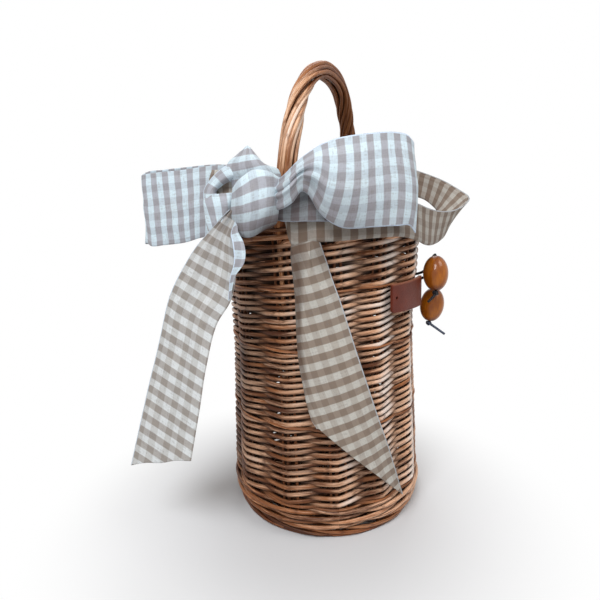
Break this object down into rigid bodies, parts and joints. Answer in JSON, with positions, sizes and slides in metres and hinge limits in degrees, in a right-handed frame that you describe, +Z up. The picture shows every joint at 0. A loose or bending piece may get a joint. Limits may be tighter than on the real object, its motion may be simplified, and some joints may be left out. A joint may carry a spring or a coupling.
{
  "type": "woven basket",
  "caption": "Small round woven willow basket with a tall twisted handle, a checked ribbon tied in a bow, a leather tag and wooden beads on cords.",
  "frame": {"origin": "on the basket's axis at table level, where the middle base stick lies flat", "axes": "+Z up along the basket's axis; -Y is the front, where the bow and tag face; +X is to the right"},
  "size_m": [0.3075, 0.2147, 0.3976],
  "materials": {
    "willow_weaver": "satin, stained",
    "willow_stake": "satin, stained",
    "willow_handle": "satin, stained",
    "checked_cloth": "plain weave",
    "tag_leather": "waxed",
    "bead_wood": "gloss varnish",
    "waxed_cord": "waxed"
  },
  "bodies": {
    "basket": {"stake_01": "willow_stake", "stake_02": "willow_stake", "stake_03": "willow_stake", "stake_04": "willow_stake", "stake_05": "willow_stake", "stake_06": "willow_stake", "stake_07": "willow_stake", "stake_08": "willow_stake", "stake_09": "willow_stake", "stake_10": "willow_stake", "stake_11": "willow_stake", "stake_12": "willow_stake", "band_1_weaver_a": "willow_weaver", "band_1_weaver_b": "willow_weaver", "band_2_weaver_a": "willow_weaver", "band_2_weaver_b": "willow_weaver", "band_3_weaver_a": "willow_weaver", "band_3_weaver_b": "willow_weaver", "band_4_weaver_a": "willow_weaver", "band_4_weaver_b": "willow_weaver", "wale_rod_1": "willow_weaver", "wale_rod_2": "willow_weaver", "wale_rod_3": "willow_weaver", "wale_rod_4": "willow_weaver", "foot_ring": "willow_stake", "border_rod_a": "willow_weaver", "border_rod_b": "willow_weaver", "base_stick_pierced_1": "willow_stake", "base_stick_pierced_2": "willow_stake", "base_stick_pierced_3": "willow_stake", "base_stick_through_1": "willow_stake", "base_stick_through_2": "willow_stake", "base_stick_through_3": "willow_stake", "base_weaver_a": "willow_weaver", "base_weaver_b": "willow_weaver", "handle_bow": "willow_handle", "handle_rod_1": "willow_handle", "handle_rod_2": "willow_handle", "handle_rod_3": "willow_handle", "handle_rod_4": "willow_handle", "handle_rod_5": "willow_handle", "handle_rod_6": "willow_handle", "leather_tag": "tag_leather", "cord_upper": "waxed_cord", "cord_lower": "waxed_cord", "knot_upper": "waxed_cord", "knot_lower": "waxed_cord", "ribbon_wrap": "checked_cloth", "bow_knot": "checked_cloth", "bow_left_loop": "checked_cloth", "bow_right_loop": "checked_cloth", "ribbon_tail_left": "checked_cloth", "ribbon_tail_right": "checked_cloth"},
    "bead_upper": {"bead_upper": "bead_wood"},
    "bead_lower": {"bead_lower": "bead_wood"}
  },
  "joints": [
    {"name": "bead_upper_spin", "type": "hinge", "parent": "basket", "child": "bead_upper", "pos_m": [0.09751, -0.03, 0.2144], "axis": [0.0529, 0.2657, 0.9626], "continuous": true},
    {"name": "bead_lower_spin", "type": "hinge", "parent": "basket", "child": "bead_lower", "pos_m": [0.10011, -0.01194, 0.1827], "axis": [0.1615, 0.065, 0.9847], "continuous": true}
  ]
}
